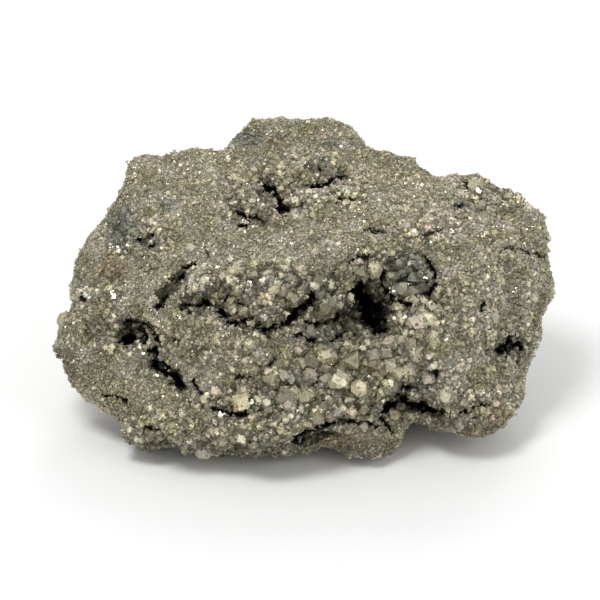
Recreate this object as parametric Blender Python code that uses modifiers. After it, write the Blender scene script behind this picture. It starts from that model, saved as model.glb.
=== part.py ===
"""A pyrite specimen: one mass of intergrown crystals, about 100 mm wide, that rests on worn spots of its
broken underside.

Everything is laid out on a face plane that leans back like an easel. On it u runs across, v runs up and w
stands out towards the viewer. A place on the front is given where it is seen on that plane, in millimetres
from its middle, by an eye straight in front of it.
"""

import math
import random

import bmesh
import bpy
import numpy as np
from mathutils import Matrix, Vector, geometry, noise
from mathutils.bvhtree import BVHTree

MM = 0.001
NAME = "pyrite_cluster"

# Stance: how far the face plane is tipped back from upright, and how high its middle is above the surface
FACE_LEAN = math.radians(28)
MIDDLE_HEIGHT = 26.0 * MM
EYE_DISTANCE = 500.0 * MM

# The rim is where the front turns into the back. Its plane leans further back than the face plane
RIM_OUT = -3.0 * MM
RIM_SLOPE = -0.33

# How far in from the rim the front and the back are domed
FRONT_ROUNDING = 13.0 * MM
BACK_ROUNDING = 20.0 * MM

# Outline of the rim as it is seen, clockwise from the left tip, in millimetres (u, v)
OUTLINE = (
    (-49.2, -10.4), (-49.0, -8.0), (-48.0, -5.0), (-45.6, -2.4), (-45.4, 0.0), (-45.8, 2.0),
    (-45.0, 5.6), (-43.6, 9.0), (-41.4, 12.0), (-39.4, 15.6), (-37.0, 20.0), (-34.6, 24.0),
    (-32.8, 27.0), (-31.2, 29.0), (-29.6, 28.6), (-25.0, 30.0), (-20.4, 31.0), (-17.6, 30.2),
    (-14.4, 30.4), (-12.0, 32.0), (-10.4, 33.6), (-7.4, 36.8), (-2.4, 36.6), (-0.8, 35.8),
    (2.0, 35.8), (5.2, 35.2), (6.6, 35.8), (7.6, 34.6), (12.4, 33.2), (14.0, 30.8),
    (18.0, 30.0), (19.0, 28.8), (24.8, 27.0), (29.2, 24.0), (32.0, 24.0), (34.8, 24.4),
    (38.4, 23.2), (41.0, 23.2), (42.8, 22.4), (44.8, 20.2), (47.0, 18.8), (49.0, 16.4),
    (49.6, 13.0), (49.4, 10.8), (50.4, 8.8), (50.8, 5.6), (50.4, 2.0), (48.8, -2.0),
    (48.2, -9.0), (46.8, -11.0), (44.4, -16.0), (44.8, -18.4), (43.6, -22.0), (41.0, -25.0),
    (38.0, -27.0), (35.0, -28.0), (32.4, -27.2), (30.0, -25.6), (24.0, -24.0), (22.0, -23.6),
    (21.4, -26.4), (19.6, -29.2), (17.6, -30.2), (14.4, -31.4), (12.0, -31.8), (9.8, -31.0),
    (9.2, -29.6), (4.4, -29.8), (0.0, -30.6), (-5.6, -31.6), (-9.0, -31.0), (-17.0, -31.2),
    (-21.0, -31.0), (-23.4, -30.0), (-25.0, -28.8), (-27.0, -28.8), (-28.4, -29.8), (-31.0, -30.4),
    (-33.0, -29.2), (-34.6, -27.4), (-35.2, -25.4), (-39.6, -21.4), (-44.0, -17.6), (-45.6, -15.0),
    (-47.6, -13.4),
)

# How far the front stands out of the face plane at spots across it, in millimetres (u, v, w)
FRONT_SPOTS = (
    (-20, 26, -6), (0, 30, -11), (20, 24, -6), (-8, 35, -15),
    (-30, 16, 0), (-10, 17, 4), (10, 20, 4), (28, 20, 1), (40, 20, -5),
    (-34, 2, 7), (-20, 6, 12), (-4, 8, 15), (10, 11, 14), (26, 13, 10),
    (36, 6, 12), (44, 8, 4), (34, -8, 14), (42, -6, 6), (34, -20, 11),
    (-44, -8, 0), (-38, -18, 6), (-42, 0, 1),
    (-16, -10, 16), (0, -12, 14), (16, -14, 14),
    (-24, -24, 15), (-8, -26, 19), (10, -24, 14), (14, -29, 9),
)

# How far the back stands out of the face plane, which is behind it
BACK_SPOTS = (
    (-20, 26, -23), (0, 30, -26), (20, 24, -26), (38, 18, -20),
    (-36, 8, -18), (-16, 12, -30), (4, 14, -32), (24, 10, -31), (42, 4, -18),
    (-34, -10, -20), (-14, -8, -33), (6, -6, -35), (26, -8, -32),
    (-26, -24, -14), (0, -26, -20), (24, -20, -18),
)

# Lumps that stand on the front: u, v, half across, half up, turn in degrees, and rise above the core
FRONT_LUMPS = (
    # the overhanging ledge, from the left crack to the cave
    (-24.0, 2.0, 9.0, 4.5, 25, 1.5),
    (-15.0, 2.4, 7.5, 5.0, -8, 2.0),
    (-8.0, -1.0, 6.2, 4.8, 0, 3.2),
    (-3.0, 4.0, 7.0, 5.5, 20, 2.4),
    (4.0, -1.0, 4.6, 4.2, 15, 2.2),
    (6.5, 7.5, 7.0, 4.5, 20, 2.0),
    # the boss below the ledge
    (-19.0, -7.0, 8.0, 6.5, -20, 3.0),
    (-13.0, -11.0, 8.5, 7.0, 10, 2.6),
    (-24.0, -4.5, 5.0, 3.6, 40, 2.2),
    # crystals' slope between the cave and the lower lip
    (1.0, -13.0, 9.0, 6.0, 5, 1.6),
    (12.0, -13.0, 8.0, 6.0, 0, 1.8),
    (6.0, -20.0, 10.0, 5.5, 0, 1.6),
    (17.0, -18.5, 5.0, 3.5, 20, 2.0),
    # the lower lip
    (-17.0, -25.0, 12.0, 4.6, 3, 2.0),
    (-5.0, -24.0, 12.0, 5.0, 4, 2.4),
    (12.0, -28.5, 7.5, 3.0, 12, 1.0),
    (-31.0, -27.0, 5.0, 3.4, 0, 1.0),
    # the left shelf and its tip
    (-40.0, -14.0, 9.0, 6.0, -35, 1.4),
    (-44.0, -7.0, 5.0, 5.0, 0, 1.0),
    (-34.0, -2.0, 11.0, 3.6, -12, 2.4),
    # the right lobe
    (33.0, 2.0, 7.0, 10.0, 0, 2.0),
    (30.0, -12.0, 8.0, 9.0, 0, 2.0),
    (38.0, 18.0, 6.0, 4.0, -25, 1.6),
    (45.0, 12.0, 4.2, 4.6, 0, 1.4),
    (34.0, -22.0, 9.0, 5.0, 10, 1.6),
    (43.0, 0.0, 5.0, 9.0, 0, 1.0),
    # the brow over the cave
    (22.0, 12.0, 9.0, 4.0, 12, 2.2),
    (14.0, 10.0, 5.0, 3.6, -15, 1.8),
    # the top
    (-7.0, 32.0, 5.0, 4.0, 0, 1.5),
    (6.0, 33.0, 8.0, 4.0, -10, 1.5),
    (45.0, 15.6, 6.0, 4.4, -50, 2.2),
    (-34.0, 20.0, 7.0, 3.8, 62, 0.8),
    (3.0, 25.0, 8.0, 4.0, 15, 1.5),
    (-30.0, 24.0, 6.0, 4.6, -40, 1.2),
)

# Hollows in the front: u, v, half across, half up, turn, depth, and how far the hollow rises as it goes in
FRONT_HOLLOWS = (
    # the cave, the crystals' recess beside it and the sink below it
    (12.8, -0.8, 4.6, 5.4, 10, 15.0, 15),
    (15.6, -4.6, 4.2, 3.2, -10, 13.0, 10),
    (20.6, 4.8, 6.4, 5.2, 25, 7.0, 20),
    (23.8, -0.4, 4.6, 3.0, 0, 5.0, 10),
    (8.0, -4.6, 3.4, 2.2, 20, 3.5, 10),
    # below the right lobe
    (19.6, -20.8, 4.6, 2.0, -8, 10.0, 20),
    (25.4, -22.8, 4.6, 1.7, -20, 8.0, 20),
    # under the lower lip
    (1.6, -28.4, 5.2, 1.8, 22, 7.0, 25),
    (8.0, -25.6, 4.6, 1.8, 18, 7.0, 25),
    # the two hollows of the left shelf
    (-33.4, -7.6, 4.0, 2.3, 5, 9.0, 25),
    (-29.6, -12.4, 2.6, 2.2, 0, 8.0, 20),
    (-25.6, -15.4, 4.6, 1.8, -38, 8.0, 20),
    # the crack under the ledge
    (-20.6, -0.9, 4.2, 1.5, -12, 7.0, 30),
    (-15.8, -2.8, 3.2, 1.4, -28, 6.0, 30),
    (-10.8, -4.8, 3.8, 1.5, 12, 6.0, 30),
    (-5.8, -5.9, 3.8, 1.6, -4, 6.5, 30),
    (-0.6, -2.6, 2.4, 2.2, 30, 8.0, 20),
    # cracks on the left
    (-24.4, 3.8, 5.6, 1.4, 36, 5.0, 25),
    (-27.8, -0.4, 2.2, 1.4, 50, 5.0, 25),
    # pits of the top
    (-6.8, 21.8, 1.9, 2.8, 20, 7.0, 20),
    (-3.6, 18.2, 4.0, 1.8, -30, 6.5, 20),
    (-12.0, 16.2, 3.4, 1.8, 10, 5.5, 20),
    (-14.6, 19.6, 3.4, 2.0, 0, 2.0, 20),
    (4.4, 22.6, 5.6, 1.5, 18, 3.2, 20),
    (-31.0, 12.0, 3.2, 2.6, 30, 2.0, 10),
    # the crystal pit near the right edge
    (41.6, -9.4, 3.8, 2.8, 10, 5.0, 10),
)

# The back, which the front hides: cracks with a ledge over each, as on the front, from a fixed seed.
# Each has the u and v where it starts, its heading in degrees and its number of steps
BACK_LEDGES = (
    (-36, 12, -12, 5),
    (-8, 20, 8, 5),
    (16, 6, -20, 5),
    (-30, -6, 12, 5),
    (-6, 2, -14, 4),
    (8, -12, 10, 5),
    (-22, -18, -8, 4),
    (30, 18, -50, 3),
)
LEDGE_STEP = 5.0
BACK_SEED = 7
BACK_LUMPS = 40
BACK_HOLLOWS = 14

# Fineness of the carved body, and its share of the triangles
CARVE_VOXEL = 0.9 * MM
FINE_VOXEL = 0.8 * MM
BODY_TRIANGLES = 6800
ALL_TRIANGLES = 9300

# Intergrown blocks that break up the surface
BLOCK_SEED = 3
SMALL_BLOCKS = 800
SMALLEST_BLOCK = 2.6 * MM
LARGEST_BLOCK = 7.0 * MM

# Crystals that stand out in the front: u, v, edge or width in mm, and form
FRONT_CRYSTALS = (
    (12.4, -17.6, 4.2, "cube"),
    (20.0, -17.0, 3.6, "octahedron"),
    (16.6, -19.0, 3.2, "cube"),
    (22.0, -10.0, 3.4, "pyritohedron"),
    (18.0, -6.0, 3.4, "octahedron"),
    (23.0, -4.0, 3.2, "octahedron"),
    (19.6, -3.6, 3.0, "cube"),
    (24.0, 3.0, 3.2, "cube"),
    (21.0, 6.0, 3.0, "octahedron"),
    (25.6, 7.0, 2.8, "pyritohedron"),
    (35.6, 21.0, 3.4, "cube"),
    (-9.0, -8.6, 3.2, "cube"),
    (-11.0, -20.0, 3.0, "cube"),
    (-15.6, -22.6, 3.4, "cube"),
    (-10.0, -20.4, 3.0, "pyritohedron"),
    (-3.0, -20.0, 3.2, "pyritohedron"),
    (-37.0, 0.8, 3.6, "cube"),
    (4.0, -12.0, 3.4, "pyritohedron"),
    (1.0, -16.0, 3.2, "cube"),
    (7.4, -9.0, 3.0, "octahedron"),
    (8.0, -15.6, 3.2, "pyritohedron"),
    (-5.0, -14.0, 3.2, "cube"),
    (40.0, -8.6, 2.6, "cube"),
    (43.4, -10.4, 2.4, "octahedron"),
    (-6.0, 3.0, 3.4, "pyritohedron"),
    (-1.0, 1.0, 3.0, "cube"),
    (3.0, 4.4, 3.4, "cube"),
    (-13.0, 4.0, 3.2, "pyritohedron"),
)
# The rest of the crystals come from a fixed seed: first the crowd in the middle of the front, then all round
CROWD_CRYSTALS = 85
CROWD_MIDDLE = (1.0, -4.0)
CROWD_HALF = (38.0, 24.0)
SCATTERED_CRYSTALS = 80
CRYSTAL_SEED = 21
SMALLEST_CRYSTAL = 1.8 * MM
LARGEST_CRYSTAL = 3.6 * MM
CRYSTAL_GAP = 2.4 * MM


def stance():
    """The matrix that carries (u, v, w) to the object's own frame."""
    return Matrix.Translation((0, 0, MIDDLE_HEIGHT)) @ Matrix.Rotation(math.pi / 2 - FACE_LEAN, 4, "X")


def seen(u, v, w=0.0):
    """The place at height w that the eye sees at (u, v)."""
    return Vector((u, v, 0)) * (1 - w / EYE_DISTANCE) + Vector((0, 0, w))


def surface_through(spots):
    """A thin plate bent through the spots: a function from arrays of u and v to heights, all in metres."""
    spots = np.array(spots) * MM

    def bending(distance):
        return distance**2 * np.log(distance + 1e-9)

    gaps = np.linalg.norm(spots[:, None, :2] - spots[None, :, :2], axis=2)
    plane = np.column_stack([np.ones(len(spots)), spots[:, :2]])
    system = np.block([[bending(gaps), plane], [plane.T, np.zeros((3, 3))]])
    weights = np.linalg.solve(system, np.append(spots[:, 2], [0, 0, 0]))

    def height(places):
        away = np.linalg.norm(places[:, None] - spots[None, :, :2], axis=2)
        return bending(away) @ weights[:-3] + weights[-3] + places @ weights[-2:]

    return height


def distance_to_outline(places, outline):
    """How far each place is from the closed outline."""
    starts = np.array(outline)
    ends = np.roll(starts, -1, axis=0)
    along = ends - starts
    reach = np.einsum("pij,ij->pi", places[:, None] - starts, along) / (along**2).sum(1)
    nearest = starts + np.clip(reach, 0, 1)[..., None] * along
    return np.linalg.norm(places[:, None] - nearest, axis=2).min(1)


def core_mesh():
    """The core: a front and a back face through their spots, domed down to one shared rim."""
    spacing = 2.0 * MM
    rim = [seen(u * MM, v * MM, RIM_OUT + RIM_SLOPE * v * MM).xy for u, v in OUTLINE]
    rows = range(-20, 21)
    columns = range(-27, 28)
    grid = [Vector((c * spacing, r * spacing)) for r in rows for c in columns]
    flat, _, faces, *_ = geometry.delaunay_2d_cdt(rim + grid, [], [list(range(len(rim)))], 1, 1e-7)
    used = sorted({corner for face in faces for corner in face})
    places = np.array([flat[i] for i in used])
    index = {old: new for new, old in enumerate(used)}
    away = distance_to_outline(places, rim)
    edge = RIM_OUT + RIM_SLOPE * places[:, 1]

    def layer(spots, rounding):
        dome = np.sqrt(1 - (1 - np.clip(away / rounding, 0, 1)) ** 2)
        return edge + (surface_through(spots)(places) - edge) * dome

    body = bmesh.new()
    sides = []
    for spots, rounding in ((FRONT_SPOTS, FRONT_ROUNDING), (BACK_SPOTS, BACK_ROUNDING)):
        heights = layer(spots, rounding)
        sides.append([body.verts.new((*place, height)) for place, height in zip(places, heights)])
    for face in faces:
        corners = [index[i] for i in face]
        body.faces.new([sides[0][i] for i in corners])
        body.faces.new([sides[1][i] for i in reversed(corners)])
    bmesh.ops.remove_doubles(body, verts=body.verts, dist=1e-6)
    bmesh.ops.recalc_face_normals(body, faces=body.faces)
    return body


def on_front(tree, u, v):
    """Where the line of sight through (u, v) meets the front."""
    eye = Vector((0, 0, EYE_DISTANCE))
    spot, *_ = tree.ray_cast(eye, (seen(u, v) - eye).normalized())
    return spot


def on_back(tree, u, v):
    """Where the back is at (u, v), or None off its edge."""
    spot, *_ = tree.ray_cast(Vector((u, v, -EYE_DISTANCE)), Vector((0, 0, 1)))
    return spot


def random_way(dice, lean=Vector((0, 0, 0))):
    """A random direction, drawn towards the lean."""
    return (Vector((dice.gauss(0, 1), dice.gauss(0, 1), dice.gauss(0, 1))) + lean).normalized()


def add_hull(target, points):
    """The convex solid around the points, in the target mesh."""
    verts = [target.verts.new(point) for point in points]
    hull = bmesh.ops.convex_hull(target, input=verts)
    inside = [item for item in hull["geom_interior"] if isinstance(item, bmesh.types.BMVert)]
    bmesh.ops.delete(target, geom=inside, context="VERTS")


def add_block(target, middle, turn, half_sizes, dice, corners=26):
    """An angular lump with flat faces that fills an ellipsoid. Turn is a rotation matrix."""
    matrix = Matrix.LocRotScale(middle, turn, Vector(half_sizes))
    add_hull(target, [matrix @ (random_way(dice) * dice.uniform(0.9, 1.15)) for _ in range(corners)])


def outward(normal, dice):
    """A turn with its Z axis along the normal and a random angle about it."""
    return normal.to_track_quat("Z", "Y").to_matrix() @ Matrix.Rotation(dice.uniform(0, math.pi), 3, "Z")


def on_any_side(tree, dice):
    """A random place on the surface, all round, with its normal, or None twice."""
    way = random_way(dice)
    aim = Vector((dice.uniform(-30, 30), dice.uniform(-12, 12), -6)) * MM
    spot, normal, *_ = tree.ray_cast(aim + way * EYE_DISTANCE, -way)
    return spot, normal


def add_front_lumps(target, tree, dice):
    for u, v, half_u, half_v, turn, rise in FRONT_LUMPS:
        spot = on_front(tree, u * MM, v * MM)
        thick = 0.8 * min(half_u, half_v)
        middle = spot + Vector((0, 0, (rise - thick) * MM))
        spin = Matrix.Rotation(math.radians(turn), 3, "Z")
        add_block(target, middle, spin, (half_u * MM, half_v * MM, thick * MM), dice)


def add_front_hollows(target, tree, dice):
    for u, v, half_u, half_v, turn, depth, climb in FRONT_HOLLOWS:
        spot = on_front(tree, u * MM, v * MM)
        spin = Matrix.Rotation(math.radians(climb), 3, "X") @ Matrix.Rotation(math.radians(turn), 3, "Z")
        add_block(target, spot, spin, (half_u * MM, half_v * MM, depth * MM), dice)


def hidden_places(tree, dice, count):
    """Random places on the back, clear of the rim, each with its normal."""
    outline = [(u * MM, v * MM) for u, v in OUTLINE]
    clear_of_rim = 8 * MM
    found = []
    for _ in range(50 * count):
        if len(found) == count:
            break
        way = random_way(dice, Vector((0, 0, -0.6)))
        spot, normal, *_ = tree.ray_cast(way * EYE_DISTANCE, -way)
        if spot is None or normal.z > -0.05:
            continue
        if distance_to_outline(np.array([spot.xy]), outline)[0] > clear_of_rim:
            found.append((spot, normal))
    return found


def add_back_features(lumps, hollows, tree):
    dice = random.Random(BACK_SEED)
    for spot, normal in hidden_places(tree, dice, BACK_LUMPS):
        wide = dice.uniform(4, 11) * MM
        sizes = (wide, wide * dice.uniform(0.5, 0.9), wide * dice.uniform(0.4, 0.7))
        rise = dice.uniform(1.2, 3.6) * MM
        add_block(lumps, spot + normal * (rise - sizes[2]), outward(normal, dice), sizes, dice)
    for spot, normal in hidden_places(tree, dice, BACK_HOLLOWS):
        turn = outward(normal, dice)
        for _ in range(3):
            wide = dice.uniform(1.4, 3.6) * MM
            sizes = (wide, wide * dice.uniform(0.4, 0.9), dice.uniform(2, 5) * MM)
            shift = turn @ Vector((dice.uniform(-2.5, 2.5), dice.uniform(-1.5, 1.5), 0)) * MM
            add_block(hollows, spot + shift, turn, sizes, dice)
    for u, v, heading, steps in BACK_LEDGES:
        angle = math.radians(heading)
        for _ in range(steps):
            add_ledge_step(lumps, hollows, tree, (u, v, angle), dice)
            u += LEDGE_STEP * math.cos(angle)
            v += LEDGE_STEP * math.sin(angle)
            angle += dice.uniform(-0.5, 0.5)


def add_ledge_step(lumps, hollows, tree, place, dice):
    """One length of crack in the back, with a lump on its upper side that overhangs it."""
    u, v, angle = place
    spin = Matrix.Rotation(math.pi, 3, "Y") @ Matrix.Rotation(math.pi - angle, 3, "Z")
    crack = on_back(tree, u * MM, v * MM)
    ledge = on_back(tree, (u - 4.5 * math.sin(angle)) * MM, (v + 4.5 * math.cos(angle)) * MM)
    if crack is not None:
        sizes = (dice.uniform(3.4, 4.6) * MM, dice.uniform(1.3, 2.1) * MM, dice.uniform(5, 8) * MM)
        add_block(hollows, crack, spin, sizes, dice)
    if ledge is not None:
        sizes = (dice.uniform(4, 6.5) * MM, dice.uniform(3.4, 4.6) * MM, 4 * MM)
        middle = ledge + Vector((0, 0, 4 - dice.uniform(1.5, 3.2))) * MM
        add_block(lumps, middle, spin, sizes, dice)


def add_small_blocks(target, tree, dice):
    """The intergrown blocks, a few millimetres across, that break up the whole surface."""
    for _ in range(SMALL_BLOCKS):
        spot, normal = on_any_side(tree, dice)
        if spot is None:
            continue
        half = dice.uniform(SMALLEST_BLOCK, LARGEST_BLOCK) / 2
        sizes = (half, half * dice.uniform(0.6, 1), half * dice.uniform(0.5, 0.8))
        rise = dice.uniform(0.2, 0.45) * half
        add_block(target, spot + normal * (rise - sizes[2]), outward(normal, dice), sizes, dice, 12)


def new_object(name, built, collection, matrix=None):
    mesh = bpy.data.meshes.new(name)
    built.to_mesh(mesh)
    built.free()
    made = bpy.data.objects.new(name, mesh)
    collection.objects.link(made)
    if matrix is not None:
        made.matrix_world = matrix
    return made


def remesh(target, voxel):
    modifier = target.modifiers.new("One skin", "REMESH")
    modifier.mode = "VOXEL"
    modifier.voxel_size = voxel


def displace(target, texture, strength):
    modifier = target.modifiers.new(texture.name, "DISPLACE")
    modifier.texture = texture
    modifier.strength = strength
    modifier.mid_level = 0.5
    modifier.texture_coords = "LOCAL"


def roughen(target, scale, strength):
    """Swells and sinks the surface in soft waves about one scale across."""
    texture = bpy.data.textures.new("Waves", "CLOUDS")
    texture.noise_scale = scale
    displace(target, texture, strength)


def crumple(target, scale, strength):
    """Breaks the surface into blocky lumps about one scale across, with creases between them."""
    texture = bpy.data.textures.new("Blocks", "VORONOI")
    texture.noise_scale = scale
    texture.distance_metric = "CHEBYCHEV"
    displace(target, texture, -strength)


def cut_with(target, cutter, operation="DIFFERENCE"):
    modifier = target.modifiers.new(f"{operation.title()} {cutter.name}", "BOOLEAN")
    modifier.operation = operation
    modifier.object = cutter
    modifier.use_self = True


def settle(target):
    """Carries out the target's modifiers and keeps only its largest body."""
    evaluated = target.evaluated_get(bpy.context.evaluated_depsgraph_get())
    mesh = bpy.data.meshes.new_from_object(evaluated)
    target.modifiers.clear()
    target.data = mesh
    body = bmesh.new()
    body.from_mesh(mesh)
    waiting = set(body.verts)
    islands = []
    while waiting:
        island = [waiting.pop()]
        for vert in island:
            near = {edge.other_vert(vert) for edge in vert.link_edges} & waiting
            waiting -= near
            island.extend(near)
        islands.append(island)
    islands.sort(key=len)
    for island in islands[:-1]:
        bmesh.ops.delete(body, geom=island, context="VERTS")
    bmesh.ops.triangulate(body, faces=body.faces)
    body.to_mesh(mesh)
    body.free()


def thin_out(target, triangles):
    modifier = target.modifiers.new("Facets", "DECIMATE")
    modifier.ratio = triangles / len(target.data.polygons)


def crystal_points(form):
    """Corners of a crystal about one unit across: a cube, an octahedron or else a pyritohedron."""
    signs = (-0.5, 0.5)
    cube = [(x, y, z) for x in signs for y in signs for z in signs]
    if form == "cube":
        return cube
    if form == "octahedron":
        reach = 0.72
        axes = ((reach, 0, 0), (0, reach, 0), (0, 0, reach))
        return [tuple(side * part for part in axis) for side in (-1, 1) for axis in axes]
    near, far = 0.3, 0.66
    points = [(0.9 * x, 0.9 * y, 0.9 * z) for x, y, z in cube]
    for a in (-1, 1):
        for b in (-1, 1):
            points += [(0, a * near, b * far), (a * near, b * far, 0), (b * far, 0, a * near)]
    return points


def add_crystal(target, spot, normal, size, form, dice):
    """A crystal at a random turn, sunk a little below its middle."""
    middle = spot - normal * 0.12 * size
    turn = Matrix.Rotation(dice.uniform(0, 2 * math.pi), 3, random_way(dice))
    sizes = Vector([size * dice.uniform(0.8, 1.15) for _ in range(3)])
    matrix = Matrix.LocRotScale(middle, turn, sizes)
    add_hull(target, [matrix @ Vector(point) for point in crystal_points(form)])


def in_front_hollow(u, v):
    """Whether (u, v), in millimetres, lies over one of the front's hollows."""
    for hollow_u, hollow_v, half_u, half_v, *_ in FRONT_HOLLOWS:
        if ((u - hollow_u) / half_u) ** 2 + ((v - hollow_v) / half_v) ** 2 < 1.2:
            return True
    return False


def crystals_mesh(tree):
    """The crystals that are large enough to be told apart from a step away, sunk into the body."""
    crystals = bmesh.new()
    dice = random.Random(CRYSTAL_SEED)
    for u, v, size, form in FRONT_CRYSTALS:
        spot = on_front(tree, u * MM, v * MM)
        add_crystal(crystals, spot, Vector((0, 0, 1)), size * MM, form, dice)
    taken = []
    for _ in range(50 * (CROWD_CRYSTALS + SCATTERED_CRYSTALS)):
        if len(taken) == CROWD_CRYSTALS + SCATTERED_CRYSTALS:
            break
        if len(taken) < CROWD_CRYSTALS:
            angle, reach = dice.uniform(0, 2 * math.pi), math.sqrt(dice.random())
            u = CROWD_MIDDLE[0] + CROWD_HALF[0] * reach * math.cos(angle)
            v = CROWD_MIDDLE[1] + CROWD_HALF[1] * reach * math.sin(angle)
            if in_front_hollow(u, v):
                continue
            spot, normal = on_front(tree, u * MM, v * MM), Vector((0, 0, 1))
        else:
            spot, normal = on_any_side(tree, dice)
        if spot is None or any((spot - other).length < CRYSTAL_GAP for other in taken):
            continue
        taken.append(spot)
        size = SMALLEST_CRYSTAL + (LARGEST_CRYSTAL - SMALLEST_CRYSTAL) * dice.random() ** 2
        form = dice.choice(("cube", "cube", "pyritohedron", "octahedron"))
        add_crystal(crystals, spot, normal, size, form, dice)
    return crystals


def broken_ground_mesh():
    """A slab with a rough top. What it cuts away leaves the underside standing on scattered high spots."""
    step = 1.5 * MM
    half_x, half_y, deep = 60 * MM, 45 * MM, 30 * MM
    slab = bmesh.new()
    bmesh.ops.create_grid(
        slab,
        x_segments=round(2 * half_x / step),
        y_segments=round(2 * half_y / step),
        size=1,
        matrix=Matrix.Diagonal((half_x, half_y, 1, 1)),
    )
    for vert in slab.verts:
        coarse = noise.noise(vert.co / (11 * MM))
        fine = noise.noise(vert.co / (4 * MM) + Vector((5, 0, 0)))
        vert.co.z = (0.6 + 3.4 * coarse + 1.2 * fine) * MM
    rim = [edge for edge in slab.edges if edge.is_boundary]
    skirt = bmesh.ops.extrude_edge_only(slab, edges=rim)["geom"]
    low = [item for item in skirt if isinstance(item, bmesh.types.BMVert)]
    for vert in low:
        vert.co.z = -deep
    bottom = [edge for edge in slab.edges if edge.is_boundary]
    bmesh.ops.edgeloop_fill(slab, edges=bottom)
    bmesh.ops.recalc_face_normals(slab, faces=slab.faces)
    return slab


def level_ground_mesh():
    """A slab whose flat top is the surface that the specimen rests on."""
    wide, deep = 200 * MM, 40 * MM
    slab = bmesh.new()
    matrix = Matrix.Translation((0, 0, -deep / 2)) @ Matrix.Diagonal((wide, wide, deep, 1))
    bmesh.ops.create_cube(slab, size=1, matrix=matrix)
    return slab


def pyrite():
    """Greenish grey brass with a dull metallic shine."""
    material = bpy.data.materials.new("Pyrite")
    material.use_nodes = True
    shader = material.node_tree.nodes["Principled BSDF"]
    shader.inputs["Base Color"].default_value = (0.33, 0.30, 0.22, 1)
    shader.inputs["Metallic"].default_value = 0.85
    shader.inputs["Roughness"].default_value = 0.42
    return material


def as_helper(helper):
    helper.hide_render = True
    helper.display_type = "WIRE"
    return helper


def centre_on_base(target):
    """Puts the mesh in the world's own frame, with the middle of its footprint at the origin."""
    mesh = target.data
    mesh.transform(target.matrix_world)
    target.matrix_world = Matrix()
    corners = np.array([vert.co for vert in mesh.vertices])
    low, high = corners.min(0), corners.max(0)
    mesh.transform(Matrix.Translation((-(low[0] + high[0]) / 2, -(low[1] + high[1]) / 2, 0)))


def main():
    for old in list(bpy.data.objects):
        bpy.data.objects.remove(old)
    parts = bpy.data.collections.new("Pyrite specimen")
    helpers = bpy.data.collections.new("Cutters")
    bpy.context.scene.collection.children.link(parts)
    bpy.context.scene.collection.children.link(helpers)

    # The core, its lumps and its hollows
    lumps = core_mesh()
    tree = BVHTree.FromBMesh(lumps)
    hollows = bmesh.new()
    dice = random.Random(BLOCK_SEED)
    add_front_lumps(lumps, tree, dice)
    add_front_hollows(hollows, tree, dice)
    add_back_features(lumps, hollows, tree)
    add_small_blocks(lumps, BVHTree.FromBMesh(lumps), dice)

    pits = as_helper(new_object("Pits", hollows, helpers, stance()))
    remesh(pits, CARVE_VOXEL)
    broken = as_helper(new_object("Broken ground", broken_ground_mesh(), helpers))
    level = as_helper(new_object("Level ground", level_ground_mesh(), helpers))

    # One skin over all of it, carved, roughened and thinned out to flat facets
    body = new_object(NAME, lumps, parts, stance())
    remesh(body, CARVE_VOXEL)
    cut_with(body, pits)
    cut_with(body, broken)
    roughen(body, 12.0 * MM, 2.4 * MM)
    crumple(body, 6.5 * MM, 1.6 * MM)
    remesh(body, FINE_VOXEL)
    settle(body)
    thin_out(body, BODY_TRIANGLES)
    settle(body)

    # The crystals grow out of the finished skin, and the flat cut comes last so that it stays exact
    skin = bmesh.new()
    skin.from_mesh(body.data)
    crystals = as_helper(new_object("Crystals", crystals_mesh(BVHTree.FromBMesh(skin)), helpers, stance()))
    skin.free()
    cut_with(body, crystals, "UNION")
    settle(body)
    thin_out(body, ALL_TRIANGLES)
    cut_with(body, level)
    settle(body)
    centre_on_base(body)
    body.data.materials.clear()
    body.data.materials.append(pyrite())


main()
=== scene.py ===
import math

import bmesh
import bpy
import numpy as np
from mathutils import Euler, Matrix, Vector, noise
from mathutils.bvhtree import BVHTree


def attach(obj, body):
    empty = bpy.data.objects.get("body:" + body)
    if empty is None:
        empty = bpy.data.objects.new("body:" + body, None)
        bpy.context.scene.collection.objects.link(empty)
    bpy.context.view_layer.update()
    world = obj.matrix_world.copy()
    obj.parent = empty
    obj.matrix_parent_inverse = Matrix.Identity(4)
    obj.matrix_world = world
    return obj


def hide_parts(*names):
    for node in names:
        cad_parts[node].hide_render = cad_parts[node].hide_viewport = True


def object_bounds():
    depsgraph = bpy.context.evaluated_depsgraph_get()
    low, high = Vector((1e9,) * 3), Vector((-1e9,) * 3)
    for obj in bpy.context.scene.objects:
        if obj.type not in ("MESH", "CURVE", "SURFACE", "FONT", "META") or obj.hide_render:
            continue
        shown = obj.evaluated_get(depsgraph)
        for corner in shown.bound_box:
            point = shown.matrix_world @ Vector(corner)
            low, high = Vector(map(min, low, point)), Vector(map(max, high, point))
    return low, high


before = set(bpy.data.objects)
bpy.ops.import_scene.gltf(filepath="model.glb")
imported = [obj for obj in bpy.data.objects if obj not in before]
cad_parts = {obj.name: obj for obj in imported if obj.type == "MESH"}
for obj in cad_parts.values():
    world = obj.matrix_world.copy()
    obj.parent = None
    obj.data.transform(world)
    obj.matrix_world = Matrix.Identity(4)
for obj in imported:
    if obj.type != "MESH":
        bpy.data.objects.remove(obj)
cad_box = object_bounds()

MM = 0.001
NODE = "pyrite_cluster"
SEED = 3

# The face plane: u runs across, v up and w towards the viewer. It leans back by the camera's elevation
FACE_LEAN = math.radians(28)
FACE_MIDDLE = Vector((-0.82, -4.76, 26.0)) * MM
EYE_DISTANCE = 500.0 * MM
STANCE = Matrix.Translation(FACE_MIDDLE) @ Matrix.Rotation(math.pi / 2 - FACE_LEAN, 4, "X")
TO_VIEWER = (STANCE.to_3x3() @ Vector((0, 0, 1))).normalized()

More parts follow.
